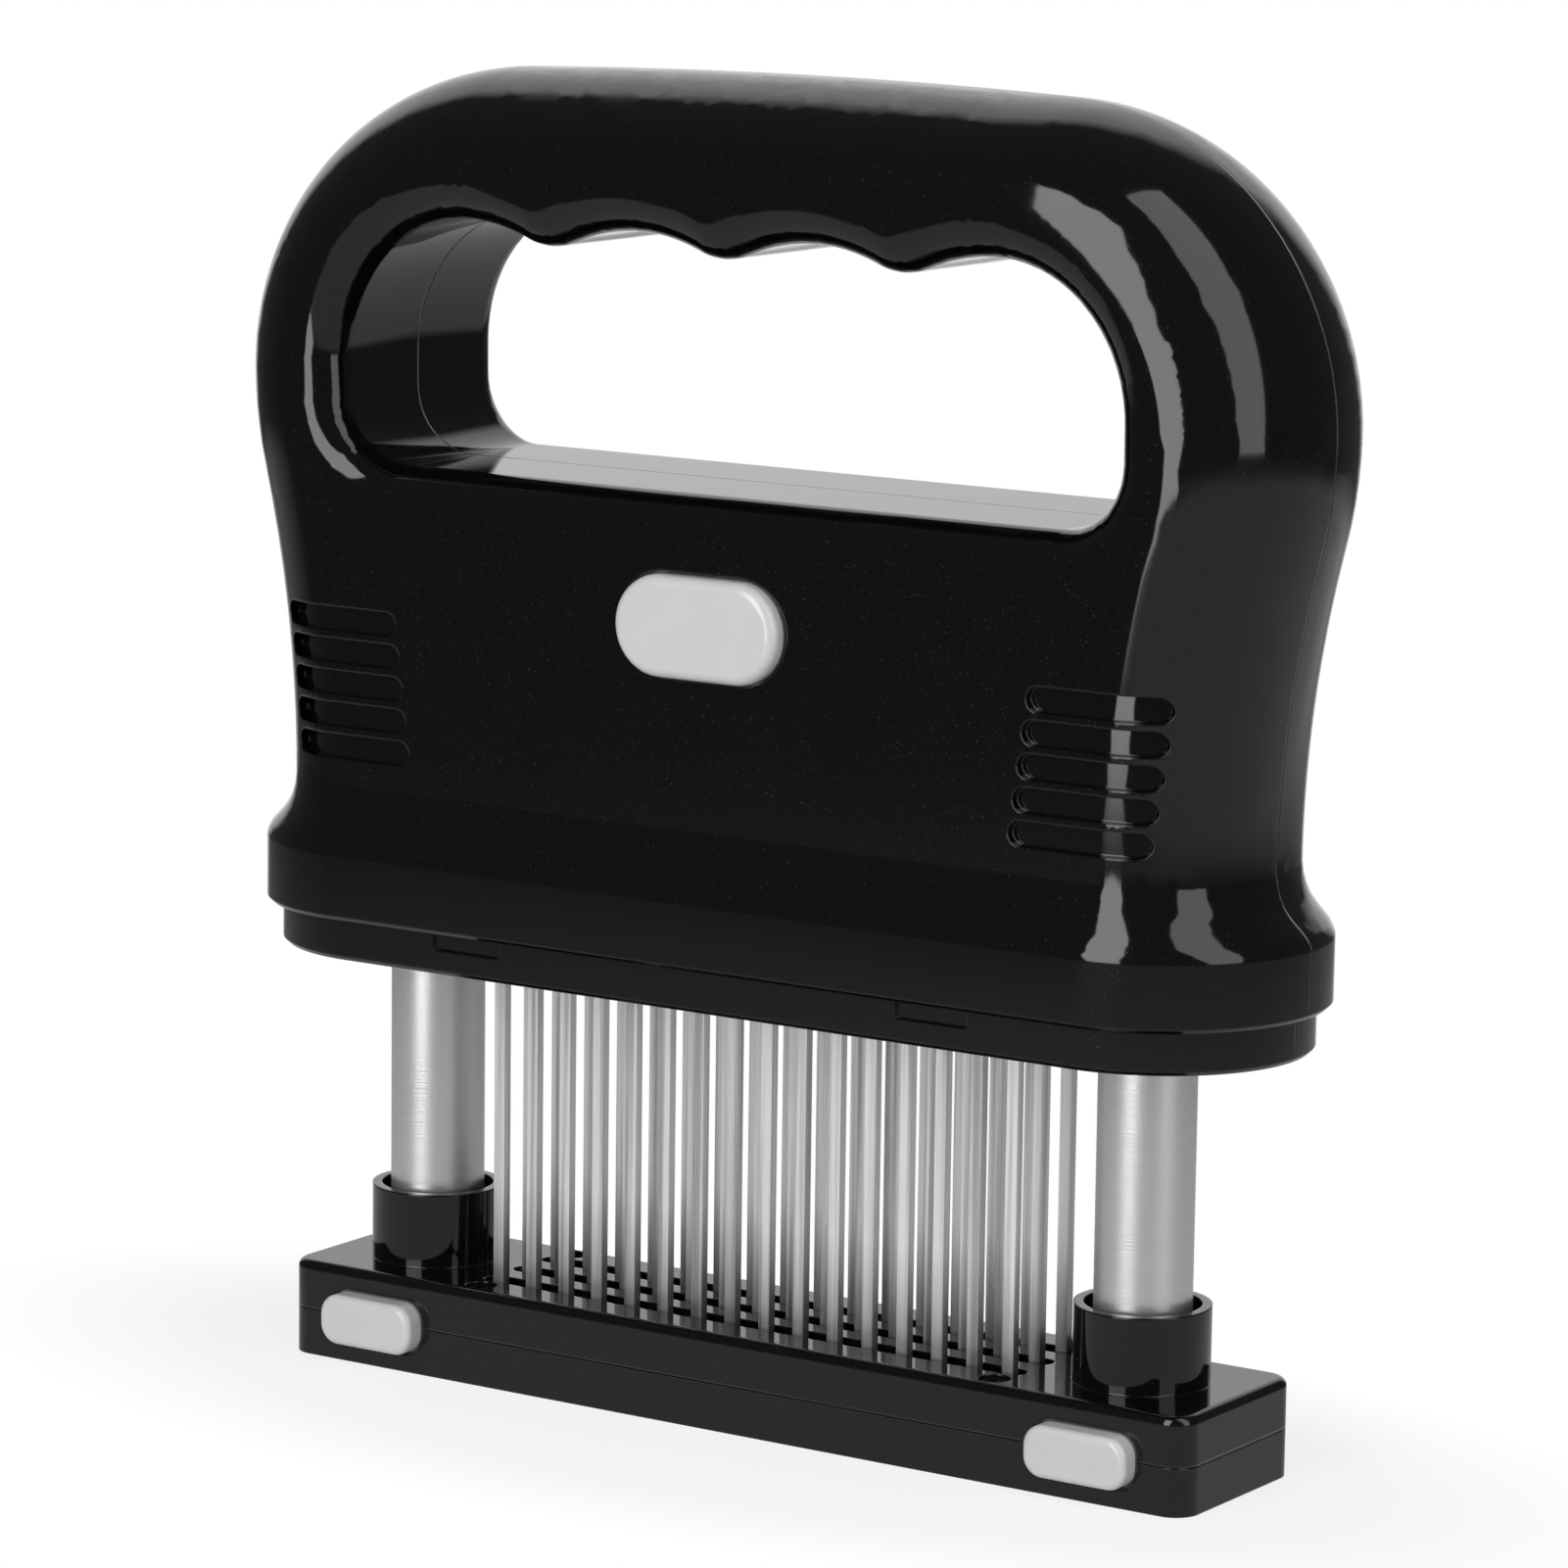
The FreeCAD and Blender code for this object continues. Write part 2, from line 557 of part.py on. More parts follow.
def latch_plate(sign):
    front = -size.base_depth / 2 + size.base_wall + 0.1 + size.button_flange
    back = size.latch_grip_radius + size.latch_rear_web
    x = sign * size.post_x
    low = size.base_button_z - size.latch_thickness / 2
    high = low + size.latch_thickness
    plate = block(x - size.latch_width / 2, x + size.latch_width / 2, front, back, low, high)
    grip = upright_cylinder(size.latch_grip_radius, x, 0, low - 1, high + 1)
    entry = upright_cylinder(size.latch_pass_radius, x, -size.base_button_travel, low - 1, high + 1)
    neck = block(x - size.latch_grip_radius, x + size.latch_grip_radius,
                 -size.base_button_travel, 0, low - 1, high + 1)
    return plate.cut(grip.fuse([entry, neck]))


def cross_coil(x, z, front, back):
    shape = coil(size.small_spring_radius, size.small_spring_wire, size.small_spring_turns,
                 back - front)
    shape.rotate(Vector(0, 0, 0), Vector(1, 0, 0), -90)
    shape.translate(Vector(x, front, z))
    return shape


for side_name, sign in (("left", -1), ("right", 1)):
    node("base_button_" + side_name, feature("base_button_" + side_name, base_button(sign)))
    node("latch_plate_" + side_name, feature("latch_plate_" + side_name, latch_plate(sign)))
    spring = cross_coil(sign * size.post_x, size.base_button_z,
                        size.latch_grip_radius + size.latch_rear_web,
                        size.base_depth / 2 - size.base_wall)
    node("base_button_spring_" + side_name, feature("base_button_spring_" + side_name, spring))

# Blade pack: 48 narrow blades moulded into a carrier block, closed by a steel keeper plate.
carrier_half = (size.blades_per_row - 1) / 2 * size.blade_pitch + size.slot_end_play + size.carrier_side


def blade(x, y):
    """A square-section blade whose lower end is ground to a point from all four sides."""
    half_x = size.blade_width / 2
    half_y = size.blade_thickness / 2
    shaft_low = size.blade_tip_z + size.blade_point
    bar = block(x - half_x, x + half_x, y - half_y, y + half_y, shaft_low, size.blade_head_z)
    corners = [Vector(x - half_x, y - half_y, shaft_low), Vector(x + half_x, y - half_y, shaft_low),
               Vector(x + half_x, y + half_y, shaft_low), Vector(x - half_x, y + half_y, shaft_low)]
    tip = Vector(x, y, size.blade_tip_z)
    faces = [Part.Face(Part.makePolygon(corners[::-1] + [corners[-1]]))]
    for place in range(4):
        first, second = corners[place], corners[(place + 1) % 4]
        faces.append(Part.Face(Part.makePolygon([first, tip, second, first])))
    point = Part.makeSolid(Part.makeShell(faces))
    if point.Volume < 0:
        point.reverse()
    return bar.fuse(point).removeSplitter()


def blade_places(row):
    count = int(size.blades_per_row)
    return [((place - (count - 1) / 2) * size.blade_pitch, row * size.row_pitch)
            for place in range(count)]


for label, row in (("front", -1), ("middle", 0), ("rear", 1)):
    blades = [blade(x, y) for x, y in blade_places(row)]
    node("blade_row_" + label, feature("blade_row_" + label, Part.makeCompound(blades)))


def blade_carrier():
    body = plan_prism(carrier_half, size.carrier_depth / 2, size.carrier_corner,
                      size.carrier_foot_z, size.carrier_top_z)
    holes = []
    for row in (-1, 0, 1):
        for x, y in blade_places(row):
            holes.append(block(x - size.blade_width / 2, x + size.blade_width / 2,
                               y - size.blade_thickness / 2, y + size.blade_thickness / 2,
                               size.carrier_foot_z - 1, size.carrier_top_z + 1))
    return body.cut(Part.makeCompound(holes))


node("blade_carrier", feature("blade_carrier", blade_carrier()))


def blade_keeper():
    """Steel plate on the blade heads with a folded tongue that the release hook catches."""
    low = size.carrier_top_z
    plate = plan_prism(carrier_half, size.carrier_depth / 2, size.carrier_corner, low,
                       low + size.keeper_thickness)
    front = -size.carrier_depth / 2
    half = size.tongue_width / 2
    tongue = block(-half, half, front, front + size.tongue_thickness, low,
                   size.release_latch_z + size.tongue_rise)
    half_window = size.tongue_window_width / 2
    window = block(-half_window, half_window, front - 1, front + size.tongue_thickness + 1,
                   size.release_latch_z - size.tongue_window_low,
                   size.release_latch_z + size.tongue_window_high)
    return plate.fuse(tongue).cut(window).removeSplitter()


node("blade_keeper", feature("blade_keeper", blade_keeper()))


# Cartridge skirt: front and rear mouldings that close the handle from below.
def skirt_half(side):
    half_length = size.rim_half_length - size.rim_reveal
    half_depth = size.rim_half_depth - size.rim_reveal
    wall = size.skirt_wall
    low = size.skirt_bottom_z
    high = size.rim_bottom_z + size.skirt_spigot
    outer = plan_prism(half_length, half_depth, half_depth, low, high)
    bottom = [edge for edge in outer.Edges if edge.BoundBox.ZMax < low + 1e-4]
    shape = outer.makeChamfer(size.skirt_edge, bottom)
    hollow = plan_prism(half_length - wall, half_depth - wall, half_depth - wall,
                        low + size.skirt_floor, high + 1)
    other_half = block(-half_length - 1, half_length + 1, 0, half_depth + 1, low - 1, high + 1)
    if side > 0:
        other_half.translate(Vector(0, -half_depth - 1, 0))
    port_x = carrier_half - size.carrier_side + size.blade_port_play
    port_y = size.row_pitch + size.slot_width / 2 + size.blade_port_play
    port = plan_prism(port_x, port_y, size.carrier_corner, low - 1, low + size.skirt_floor + 1)
    tools = [hollow, other_half, port]
    for sign in (-1, 1):
        tools.append(upright_cylinder(size.tube_radius + size.slide_play, sign * size.post_x, 0,
                                      low - 1, high))
        if side < 0:
            x = sign * size.snap_x
            tools.append(block(x - size.snap_width / 2, x + size.snap_width / 2,
                               -half_depth - 1, -half_depth + size.snap_depth,
                               size.rim_bottom_z - size.snap_height,
                               size.rim_bottom_z + size.snap_height / 2))
    for tool in tools:
        shape = shape.cut(tool)
    return shape


node("skirt_front", feature("skirt_front", skirt_half(-1)))
node("skirt_rear", feature("skirt_rear", skirt_half(1)))

# Guide bushes: they sit on the skirt floor, run on the tubes and stop the rings at the top.
bush_low = size.skirt_bottom_z + size.skirt_floor
bush_high = size.tube_top_z - size.stop_ring_height
for side_name, sign in (("left", -1), ("right", 1)):
    x = sign * size.post_x
    sleeve_radius = size.tube_radius + size.bush_wall
    sleeve = upright_cylinder(sleeve_radius, x, 0, bush_low, bush_high)
    collar = upright_cylinder(sleeve_radius + size.bush_flange, x, 0, bush_low,
                              bush_low + size.bush_flange_height)
    bore = upright_cylinder(size.tube_radius + size.slide_play, x, 0, bush_low - 1, bush_high + 1)
    node("guide_bush_" + side_name, feature("guide_bush_" + side_name,
                                            sleeve.fuse(collar).cut(bore).removeSplitter()))


# Handle housing: half-ellipse sides swept round an outline of arcs, with a flared rim below.
waist_half = size.bulge_half - size.waist_inset


def side_arcs():
    """Centre height and angle of the arc below the bulge, and the radius that follows it."""
    top_z = size.handle_top_z - size.shoulder_radius - size.crown
    drop = top_z - size.waist_z
    angle = 2 * math.atan(size.waist_inset / drop)
    low_radius = drop / math.sin(angle) - size.shoulder_run
    return top_z, angle, low_radius


def side_x(z):
    """Half width of the housing at a height between the waist and the bulge."""
    top_z, angle, low_radius = side_arcs()
    if z > top_z - size.shoulder_run * math.sin(angle):
        return size.bulge_half - size.shoulder_run + math.sqrt(size.shoulder_run ** 2
                                                               - (top_z - z) ** 2)
    return waist_half + low_radius - math.sqrt(low_radius ** 2 - (z - size.waist_z) ** 2)


def outline_wire():
    """The seam line of the housing, from the right waist over the top to the left waist."""
    y = 0
    top_z, angle, low_radius = side_arcs()
    radius = size.shoulder_radius
    centre_x = size.bulge_half - radius
    rise = size.handle_top_z - top_z
    crown_radius = (centre_x ** 2 + rise ** 2 - radius ** 2) / (2 * (rise - radius))
    crown_centre = Vector(0, y, size.handle_top_z - crown_radius)
    shoulder_centre = Vector(centre_x, y, top_z)
    lean = (shoulder_centre - crown_centre).normalize()
    crown_end = shoulder_centre + lean * radius
    halfway = (lean + Vector(1, 0, 0)).normalize()
    shoulder_mid = shoulder_centre + halfway * radius
    bulge = Vector(size.bulge_half, y, top_z)
    run_centre = Vector(size.bulge_half - size.shoulder_run, y, top_z)

    def on_run(turn):
        return run_centre + Vector(math.cos(turn), 0, -math.sin(turn)) * size.shoulder_run

    waist = Vector(waist_half, y, size.waist_z)
    low_centre = Vector(waist_half + low_radius, y, size.waist_z)

    def on_low(turn):
        return low_centre + Vector(-math.cos(turn), 0, math.sin(turn)) * low_radius

    right = [
        Part.Arc(waist, on_low(angle / 2), on_run(angle)),
        Part.Arc(on_run(angle), on_run(angle / 2), bulge),
        Part.Arc(bulge, shoulder_mid, crown_end),
    ]

    def flip(point):
        return Vector(-point.x, point.y, point.z)

    crown_top = Vector(0, y, size.handle_top_z)
    left = [
        Part.Arc(flip(crown_end), flip(shoulder_mid), flip(bulge)),
        Part.Arc(flip(bulge), flip(on_run(angle / 2)), flip(on_run(angle))),
        Part.Arc(flip(on_run(angle)), flip(on_low(angle / 2)), flip(waist)),
    ]
    arcs = right + [Part.Arc(crown_end, crown_top, flip(crown_end))] + left
    return Part.Wire([arc.toShape() for arc in arcs])


def grip_wire(y):
    """The finger opening: a flat floor, round ends and four finger scallops above."""
    half = size.finger_pitch / 2
    angle = 2 * math.atan(size.finger_depth / half)
    radii = half / math.sin(angle)
    scallop = radii - size.finger_ridge
    top = size.grip_top_z
    ridge_centre_z = top - size.finger_depth + size.finger_ridge
    scallop_centre_z = top - scallop
    wall = size.grip_half
    outer_x = 1.5 * size.finger_pitch
    corner = wall - outer_x
    floor_corner = size.grip_floor_corner
    floor = size.grip_floor_z

    def on_ridge(x, turn):
        return Vector(x + size.finger_ridge * math.sin(turn), y,
                      ridge_centre_z - size.finger_ridge * math.cos(turn))

    def on_scallop(x, turn):
        return Vector(x + scallop * math.sin(turn), y, scallop_centre_z + scallop * math.cos(turn))

    edges = []
    ridges = [-size.finger_pitch, 0.0, size.finger_pitch]
    scallops = [-1.5 * size.finger_pitch, -half, half, 1.5 * size.finger_pitch]
    edges.append(Part.Arc(on_scallop(scallops[0], 0), on_scallop(scallops[0], angle / 2),
                          on_scallop(scallops[0], angle)))
    for place, x in enumerate(ridges):
        edges.append(Part.Arc(on_ridge(x, -angle), on_ridge(x, 0), on_ridge(x, angle)))
        following = scallops[place + 1]
        last = place == len(ridges) - 1
        end = 0 if last else angle
        edges.append(Part.Arc(on_scallop(following, -angle), on_scallop(following, (end - angle) / 2),
                              on_scallop(following, end)))
    bend = math.sqrt(0.5)
    right_end = Vector(outer_x, y, top)
    corner_z = top - corner
    edges.append(Part.Arc(right_end, Vector(outer_x + corner * bend, y, corner_z + corner * bend),
                          Vector(wall, y, corner_z)))
    edges.append(Part.LineSegment(Vector(wall, y, corner_z), Vector(wall, y, floor + floor_corner)))
    inner = wall - floor_corner
    edges.append(Part.Arc(Vector(wall, y, floor + floor_corner),
                          Vector(inner + floor_corner * bend, y, floor + floor_corner * (1 - bend)),
                          Vector(inner, y, floor)))
    edges.append(Part.LineSegment(Vector(inner, y, floor), Vector(-inner, y, floor)))
    edges.append(Part.Arc(Vector(-inner, y, floor),
                          Vector(-inner - floor_corner * bend, y, floor + floor_corner * (1 - bend)),
                          Vector(-wall, y, floor + floor_corner)))
    edges.append(Part.LineSegment(Vector(-wall, y, floor + floor_corner), Vector(-wall, y, corner_z)))
    edges.append(Part.Arc(Vector(-wall, y, corner_z),
                          Vector(-outer_x - corner * bend, y, corner_z + corner * bend),
                          Vector(-outer_x, y, top)))
    return Part.Wire([item.toShape() for item in edges])


def housing_solid():
    """The body above the waist: a half-ellipse side swept along the seam line, and flat faces."""
    depth = size.body_half_depth
    low = size.waist_z
    inner = waist_half - size.body_round
    sweep = Part.BRepOffsetAPI.MakePipeShell(outline_wire())
    sweep.setBiNormalMode(Vector(0, 1, 0))
    sweep.add(Part.Wire([half_ellipse(Vector(inner, 0, low), size.body_round, depth)]))
    sweep.build()
    side = sweep.shape()
    ends = [edge for edge in side.Edges if edge.BoundBox.ZMax < low + 1e-3]
    faces = list(side.Faces)
    closing = []
    for y in (-depth, depth):
        line = Part.LineSegment(Vector(-inner, y, low), Vector(inner, y, low)).toShape()
        closing.append(line)
        border = [edge for edge in side.Edges
                  if edge.BoundBox.YLength < 1e-3 and abs(edge.BoundBox.YMin - y) < 1e-3]
        faces.append(Part.Face(Part.Wire(Part.__sortEdges__(border + [line]))))
    faces.append(Part.Face(Part.Wire(Part.__sortEdges__(ends + closing))))
    shell = Part.Shell(faces)
    shell.sewShape()
    body = Part.Solid(shell)
    if body.Volume < 0:
        body.reverse()
    return body


FLARE_STEPS = ((0.0, 0.0), (0.25, 0.08), (0.45, 0.25), (0.62, 0.5), (0.78, 0.8), (0.9, 0.95),
               (1.0, 1.0))


def flare_solid():
    """The foot of the housing: it widens from the waist to the upright rim band."""
    grow_x = size.rim_half_length - waist_half
    grow_y = size.rim_half_depth - size.body_half_depth
    grow_end = size.rim_end - size.body_round
    fall = size.waist_z - size.rim_top_z
    wires = []
    for share, spread in FLARE_STEPS:
        wires.append(oval_plan(waist_half + grow_x * spread, size.body_half_depth + grow_y * spread,
                               size.body_round + grow_end * spread, size.waist_z - fall * share))
    flare = Part.makeLoft(wires, True, False, False)
    band = oval_prism(size.rim_half_length, size.rim_half_depth, size.rim_end,
                      size.rim_bottom_z, size.rim_top_z)
    low_edges = [edge for edge in band.Edges if edge.BoundBox.ZMax < size.rim_bottom_z + 1e-4]
    return flare.fuse(band.makeChamfer(size.rim_edge, low_edges))


def housing_outer():
    through = 2 * size.body_half_depth
    grip = Part.Face(grip_wire(-through)).extrude(Vector(0, 2 * through, 0))
    body = housing_solid().cut(grip)
    depth = size.body_half_depth
    lip_edges = []
    for edge in body.Edges:
        box = edge.BoundBox
        flat = box.YLength < 1e-6 and abs(abs(box.YMin) - depth) < 1e-4
        inside = abs(box.XMin) < size.grip_half + 0.1 and abs(box.XMax) < size.grip_half + 0.1
        tall = box.ZMin > size.grip_floor_z - 0.1 and box.ZMax < size.grip_top_z + 0.1
        if flat and inside and tall:
            lip_edges.append(edge)
    body = body.makeFillet(size.grip_lip, lip_edges)
    return body.fuse(flare_solid()).removeSplitter()


outer_form = housing_outer()
housing_ceiling = size.grip_floor_z - 1.5 * size.shell_wall


def housing_hollow():
    """Room for the mechanism, below the floor of the finger opening."""
    wall = size.shell_wall
    spigot_top = size.rim_bottom_z + size.skirt_spigot
    skirt_length = size.rim_half_length - size.rim_reveal + size.fit_play
    skirt_depth = size.rim_half_depth - size.rim_reveal + size.fit_play
    rim_hollow = plan_prism(skirt_length, skirt_depth, skirt_depth, size.rim_bottom_z - 1,
                            spigot_top + 2 * size.slide_play)
    main = oval_prism(waist_half - wall, size.body_half_depth - wall, size.body_round,
                      spigot_top, housing_ceiling)
    return rim_hollow.fuse(main)


def groove_cutter():
    """Recesses at each side, front and rear; each floor follows the rounded side at its height."""
    depth = size.groove_depth
    half_height = size.groove_height / 2
    bars = []
    for place in range(int(size.groove_count)):
        z = size.groove_top_z - place * size.groove_pitch
        near = size.groove_inner_x - place * size.groove_step
        far = size.groove_outer_x - place * size.groove_step
        floor = oval_prism(side_x(z) - depth, size.body_half_depth - depth, size.body_round,
                           z - size.groove_pitch, z + size.groove_pitch)
        for sign in (-1, 1):
            middle = (sign * (near + far) / 2, z)
            bar = stadium_prism((far - near) / 2, half_height, middle, -2 * size.body_half_depth,
                                4 * size.body_half_depth)
            bars.append(bar.cut(floor))
    return Part.makeCompound(bars)


def shell_screw_places():
    """Four screws in bosses between the posts, then two in the solid side bars."""
    bar = (size.grip_half + size.bulge_half) / 2
    shoulder_z = size.handle_top_z - size.shoulder_radius - size.crown
    return [(-size.boss_low_x, size.boss_low_z), (size.boss_low_x, size.boss_low_z),
            (-size.boss_high_x, size.boss_high_z), (size.boss_high_x, size.boss_high_z),
            (-bar, shoulder_z), (bar, shoulder_z)]


SHELL_SCREWS = shell_screw_places()


def front_half():
    return block(-2 * size.bulge_half, 2 * size.bulge_half, -2 * size.body_half_depth, 0, 0,
                 2 * size.handle_top_z)


def rear_half():
    return block(-2 * size.bulge_half, 2 * size.bulge_half, 0, 2 * size.body_half_depth, 0,
                 2 * size.handle_top_z)


def screw_bosses(front, back):
    """Bosses that tie the two shells, clear of the posts and the blade pack."""
    return [cross_cylinder(size.shell_boss_radius, x, z, front, back)
            for x, z in SHELL_SCREWS[:4]]


def release_opening():
    return stadium_prism(size.release_half_width + size.button_play,
                         size.release_half_height + size.button_play,
                         (0, size.release_z), -2 * size.body_half_depth,
                         size.body_half_depth + size.shell_wall + 1)


hollow = housing_hollow()
grooves = groove_cutter()
walls = outer_form.cut(hollow).cut(grooves)
inside_depth = size.body_half_depth - size.shell_wall


def front_shell():
    shape = walls.common(front_half())
    shape = shape.fuse(screw_bosses(-inside_depth - 1, 0))
    shape = shape.cut(release_opening())
    for x, z in SHELL_SCREWS:
        shape = shape.cut(cross_cylinder(size.shell_screw_shank, x, z, -size.shell_screw_reach - 1, 1))
    return shape.removeSplitter()


def rear_shell():
    shape = walls.common(rear_half())
    seat = cross_cylinder(size.small_spring_radius + 1.4, 0, size.release_z, 0, inside_depth + 1)
    shape = shape.fuse(screw_bosses(0, inside_depth + 1) + [seat])
    face = size.body_half_depth
    for x, z in SHELL_SCREWS:
        shape = shape.cut(cross_cylinder(size.shell_screw_shank, x, z, -1, face + 4))
        shape = shape.cut(cross_cylinder(size.shell_screw_head + size.fit_play, x, z,
                                         face - size.shell_screw_depth, face + 4))
    return shape.removeSplitter()


node("front_shell", feature("front_shell", front_shell()))
node("rear_shell", feature("rear_shell", rear_shell()))

screws = []
for x, z in SHELL_SCREWS:
    seat_y = size.body_half_depth - size.shell_screw_depth
    head = cross_cylinder(size.shell_screw_head, x, z, seat_y, seat_y + size.shell_screw_head_height)
    shank = cross_cylinder(size.shell_screw_shank - 0.02, x, z, -size.shell_screw_reach, seat_y)
    screws.append(head.fuse(shank))
node("shell_screws", feature("shell_screws", Part.makeCompound(screws)))


# Spring rods: they hang from a cross bar under the housing ceiling and push the post springs.
def spring_rod(sign):
    x = sign * size.post_x
    plate = size.spring_rod_plate
    cap = upright_cylinder(size.tube_radius - size.tube_wall - size.slide_play, x, 0,
                           spring_head, spring_head + plate)
    rod = upright_cylinder(size.spring_rod_radius, x, 0, spring_head, housing_ceiling)
    flange = upright_cylinder(size.spring_rod_flange, x, 0, housing_ceiling - plate,
                              housing_ceiling)
    return rod.fuse([cap, flange]).removeSplitter()


for side_name, sign in (("left", -1), ("right", 1)):
    node("spring_rod_" + side_name, feature("spring_rod_" + side_name, spring_rod(sign)))


# Release button: a glossy stadium cap on a latch plate that reaches down to the blade pack.
def release_button():
    face = -size.body_half_depth - size.release_proud
    inside = -size.body_half_depth + size.shell_wall
    cap = stadium_prism(size.release_half_width, size.release_half_height, (0, size.release_z),
                        face, inside - face + 0.3)
    front_edges = [edge for edge in cap.Edges if edge.BoundBox.YMax < face + 1e-4]
    cap = cap.makeFillet(size.release_edge, front_edges)
    flange = stadium_prism(size.release_half_width + size.release_flange,
                           size.release_half_height + size.release_flange,
                           (0, size.release_z), inside + 0.1, size.release_flange)
    return cap.fuse(flange).removeSplitter()


def release_hook():
    front = -size.body_half_depth + size.shell_wall + 0.1 + size.release_flange
    half = size.hook_width / 2
    stem = block(-half, half, front, front + size.hook_stem,
                 size.release_latch_z + size.hook_stem, size.release_z + half)
    hook = block(-half, half, front, front + size.hook_reach, size.release_latch_z,
                 size.release_latch_z + size.hook_height)
    return stem.fuse(hook).removeSplitter()


node("release_button", feature("release_button", release_button()))
node("release_hook", feature("release_hook", release_hook()))
hook_back = -size.body_half_depth + size.shell_wall + 0.1 + size.release_flange + size.hook_stem
node("release_spring", feature("release_spring", cross_coil(0, size.release_z, hook_back, 0)))

DOC.recompute()
for item in DOC.Objects:
    if "Invalid" in item.State or "Error" in item.State:
        raise RuntimeError("%s is %s" % (item.Name, item.State))
os.makedirs("parts", exist_ok=True)
for item in NODES:
    shape = item.Shape
    if shape.isNull() or not shape.isValid():
        raise RuntimeError("%s has no valid shape" % item.Label)
    print("%-28s solids %2d  volume %9.1f" % (item.Label, len(shape.Solids), shape.Volume))
    shape.exportStep("parts/%s.step" % item.Label)
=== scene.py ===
import json
import math
import bpy
from mathutils import Matrix, Vector


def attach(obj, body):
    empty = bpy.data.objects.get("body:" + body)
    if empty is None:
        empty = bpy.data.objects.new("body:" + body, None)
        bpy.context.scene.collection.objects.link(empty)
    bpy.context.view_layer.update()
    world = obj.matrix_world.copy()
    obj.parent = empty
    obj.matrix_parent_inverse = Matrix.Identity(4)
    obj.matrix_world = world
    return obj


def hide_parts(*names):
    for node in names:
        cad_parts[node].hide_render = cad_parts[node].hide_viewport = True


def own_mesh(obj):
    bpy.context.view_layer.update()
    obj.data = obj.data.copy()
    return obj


# The dressed blade meat tenderizer: one section for each assembly, in the order in which
# it is put together. Lengths in metres, unless a name ends in _MM.
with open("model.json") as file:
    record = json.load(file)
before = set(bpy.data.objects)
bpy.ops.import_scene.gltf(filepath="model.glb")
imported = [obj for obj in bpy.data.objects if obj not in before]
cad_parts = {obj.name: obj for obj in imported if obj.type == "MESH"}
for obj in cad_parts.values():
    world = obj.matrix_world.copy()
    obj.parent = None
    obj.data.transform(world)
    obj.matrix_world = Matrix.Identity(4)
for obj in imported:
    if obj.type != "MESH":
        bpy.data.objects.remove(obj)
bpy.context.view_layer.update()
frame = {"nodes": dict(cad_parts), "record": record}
bpy.ops.object.select_all(action="DESELECT")

# Camera. A long lens on the right front corner, a little above the handle, as the
# photograph was taken: its place is worked out from the straight edges of the base.
CAMERA_AZIMUTH = math.radians(33.76)
CAMERA_ELEVATION = math.radians(9.78)
CAMERA_ROLL = math.radians(0.74)
CAMERA_DISTANCE = 0.761
CAMERA_TARGET = Vector((0.0, 0.0, 0.0734))
FRAME_PIXELS = 1601
FOCAL_PIXELS = 6825
SENSOR_WIDTH = 36.0
CAMERA_NEAR = 0.01
bpy.ops.object.camera_add()
camera = bpy.context.object
camera.data.sensor_width = SENSOR_WIDTH
camera.data.lens = FOCAL_PIXELS / FRAME_PIXELS * SENSOR_WIDTH
camera.data.clip_start = CAMERA_NEAR
back = Vector((math.sin(CAMERA_AZIMUTH) * math.cos(CAMERA_ELEVATION),
               -math.cos(CAMERA_AZIMUTH) * math.cos(CAMERA_ELEVATION),
               math.sin(CAMERA_ELEVATION)))
level = Vector((math.cos(CAMERA_AZIMUTH), math.sin(CAMERA_AZIMUTH), 0.0))
upward = back.cross(level)
right = level * math.cos(CAMERA_ROLL) + upward * math.sin(CAMERA_ROLL)
up = upward * math.cos(CAMERA_ROLL) - level * math.sin(CAMERA_ROLL)
turn = Matrix((right, up, back)).transposed().to_4x4()
camera.matrix_world = Matrix.Translation(CAMERA_TARGET + back * CAMERA_DISTANCE) @ turn
bpy.context.scene.camera = camera
bpy.context.scene.view_settings.view_transform = "Standard"

# Studio. A pale floor that keeps the object's shadow and turns to the plain white of the
# backdrop. Polished surfaces look through it and show the room only: a tall soft box left
# of the camera, a fainter one to the right, a white backdrop behind and grey below.
X, Y, Z = range(3)
WHITE = (1.0, 1.0, 1.0, 1.0)


class Value:
    """A number that varies over a surface; arithmetic on it adds Math nodes."""

    def __init__(self, owner, output):
        self.owner = owner
        self.output = output

    def math(self, operation, *values, clamp=False):
        return self.owner.math(operation, *values, clamp=clamp)

    def __abs__(self):
        return self.math("ABSOLUTE", self)

    def __add__(self, other):
        return self.math("ADD", self, other)

    def __sub__(self, other):
        return self.math("SUBTRACT", self, other)

    def __rsub__(self, other):
        return self.math("SUBTRACT", other, self)

    def __mul__(self, other):
        return self.math("MULTIPLY", self, other)

    def ramp(self, low, high):
        """Nought below low, one above high."""
        return self.math("MULTIPLY", self - low, 1.0 / (high - low), clamp=True)

    __radd__ = __add__
    __rmul__ = __mul__


